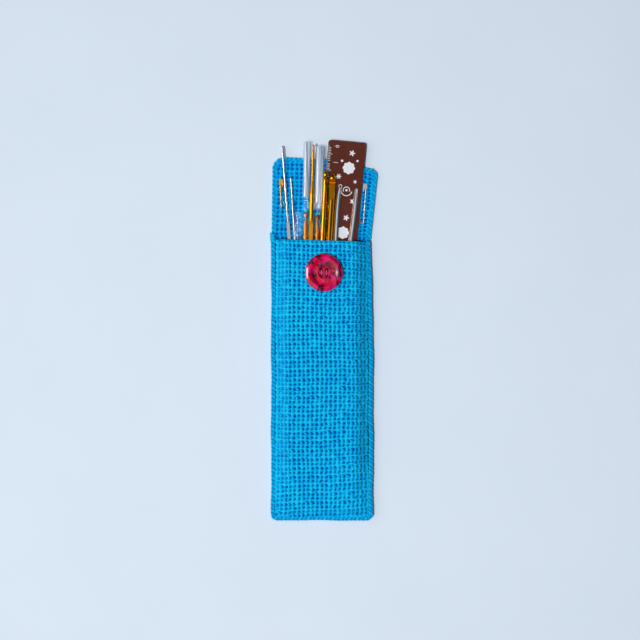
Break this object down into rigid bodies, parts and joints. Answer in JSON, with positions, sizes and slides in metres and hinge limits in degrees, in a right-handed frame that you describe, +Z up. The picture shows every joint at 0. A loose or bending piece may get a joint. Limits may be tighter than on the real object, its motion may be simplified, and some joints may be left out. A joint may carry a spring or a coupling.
{
  "type": "crochet hook case",
  "caption": "Narrow crocheted pouch with a buttoning flap, holding crochet hooks, storage tubes, a ruler and tweezers.",
  "frame": {"origin": "middle of the pocket's mouth, on the underside of the back panel that the case rests on", "axes": "+Y from the pocket's foot to the flap's end, +X across to the right seen from the button's side, +Z up from the resting face"},
  "size_m": [0.0654, 0.2346, 0.0185],
  "materials": {
    "turquoise_crochet": "matte, single crochet stitches in thick cotton yarn",
    "button": "glossy, translucent red with darker marbling",
    "red_thread": "dark red sewing thread",
    "brass_wire": "polished",
    "steel_wire": "nickel plated, polished",
    "hook_steel": "bright nickel-plated steel",
    "gold_hook": "gold anodised, glossy",
    "clear_tube": "clear, thin-walled plastic",
    "ruler": "glossy dark brown with pale scale and figures",
    "tweezers_steel": "satin stainless steel with bevelled edges"
  },
  "bodies": {
    "pouch": {"back_panel": "turquoise_crochet", "front_panel": "turquoise_crochet", "edging_left": "turquoise_crochet", "edging_right": "turquoise_crochet", "edging_foot": "turquoise_crochet"},
    "button": {"button": "button", "button_thread": "red_thread"},
    "flap": {"flap_panel": "turquoise_crochet", "flap_border": "turquoise_crochet", "brass_pin_wire": "brass_wire", "brass_pin_cap": "brass_wire", "steel_pin_wire": "steel_wire", "steel_pin_cap": "steel_wire"},
    "steel_hook_long": {"steel_hook_long": "hook_steel"},
    "steel_hook_short": {"steel_hook_short": "hook_steel"},
    "short_tube": {"short_tube": "clear_tube"},
    "storage_tube_a": {"storage_tube_a": "clear_tube"},
    "tube_cap_a": {"tube_cap_a": "clear_tube"},
    "gold_hook_in_tube_a": {"gold_hook_in_tube_a": "gold_hook"},
    "gold_hook_slim": {"gold_hook_slim": "gold_hook"},
    "storage_tube_b": {"storage_tube_b": "clear_tube"},
    "tube_cap_b": {"tube_cap_b": "clear_tube"},
    "gold_hook_in_tube_b": {"gold_hook_in_tube_b": "gold_hook"},
    "gold_hook_middle": {"gold_hook_middle": "gold_hook"},
    "gold_hook_wide": {"gold_hook_wide": "gold_hook"},
    "ruler": {"ruler": "ruler"},
    "tweezers": {"tweezers_left_leg": "tweezers_steel"},
    "tweezers_right_leg": {"tweezers_right_leg": "tweezers_steel"}
  },
  "joints": [
    {"name": "flap_fold", "type": "hinge", "parent": "pouch", "child": "flap", "pos_m": [0, 0, -0.0002], "axis": [-1, 0, 0], "range_deg": [0, 175]},
    {"name": "button_turn", "type": "hinge", "parent": "pouch", "child": "button", "pos_m": [0.0012, -0.021, 0.0141], "axis": [0, 0, 1], "range_deg": [-20, 20], "stiffness_Nm_per_rad": 0.003},
    {"name": "steel_hook_long_slide", "type": "slide", "parent": "pouch", "child": "steel_hook_long", "axis": [-0.0718, 0.9974, 0], "range_m": [-0.035, 0.0695]},
    {"name": "steel_hook_short_slide", "type": "slide", "parent": "pouch", "child": "steel_hook_short", "axis": [-0.0619, 0.9981, 0], "range_m": [-0.015, 0.078]},
    {"name": "short_tube_slide", "type": "slide", "parent": "pouch", "child": "short_tube", "axis": [0.023, 0.9997, 0], "range_m": [-0.016, 0.055]},
    {"name": "storage_tube_a_slide", "type": "slide", "parent": "pouch", "child": "storage_tube_a", "axis": [0.023, 0.9997, 0], "range_m": [-0.02, 0.108]},
    {"name": "tube_cap_a_pull", "type": "slide", "parent": "storage_tube_a", "child": "tube_cap_a", "axis": [0.023, 0.9997, 0], "range_m": [0, 0.015]},
    {"name": "gold_hook_a_slide", "type": "slide", "parent": "storage_tube_a", "child": "gold_hook_in_tube_a", "axis": [0.023, 0.9997, 0], "range_m": [-0.001, 0.041]},
    {"name": "gold_hook_slim_slide", "type": "slide", "parent": "pouch", "child": "gold_hook_slim", "axis": [0.03, 0.9996, 0], "range_m": [-0.037, 0.0945]},
    {"name": "storage_tube_b_slide", "type": "slide", "parent": "pouch", "child": "storage_tube_b", "axis": [0.04, 0.9992, 0], "range_m": [-0.02, 0.109]},
    {"name": "tube_cap_b_pull", "type": "slide", "parent": "storage_tube_b", "child": "tube_cap_b", "axis": [0.04, 0.9992, 0], "range_m": [0, 0.015]},
    {"name": "gold_hook_b_slide", "type": "slide", "parent": "storage_tube_b", "child": "gold_hook_in_tube_b", "axis": [0.04, 0.9992, 0], "range_m": [-0.001, 0.04]},
    {"name": "gold_hook_middle_slide", "type": "slide", "parent": "pouch", "child": "gold_hook_middle", "axis": [0.0499, 0.9988, 0], "range_m": [-0.021, 0.1105]},
    {"name": "gold_hook_wide_slide", "type": "slide", "parent": "pouch", "child": "gold_hook_wide", "axis": [0.0619, 0.9981, 0], "range_m": [-0.02, 0.1115]},
    {"name": "ruler_slide", "type": "slide", "parent": "pouch", "child": "ruler", "axis": [0.0926, 0.9957, 0], "range_m": [-0.034, 0.0975]},
    {"name": "tweezers_slide", "type": "slide", "parent": "pouch", "child": "tweezers", "axis": [0.0619, 0.9981, 0], "range_m": [-0.034, 0.097]},
    {"name": "tweezers_squeeze", "type": "hinge", "parent": "tweezers", "child": "tweezers_right_leg", "pos_m": [0.00464, -0.08796, 0.00525], "axis": [0, 0, 1], "range_deg": [0, 3.8], "stiffness_Nm_per_rad": 0.3}
  ]
}
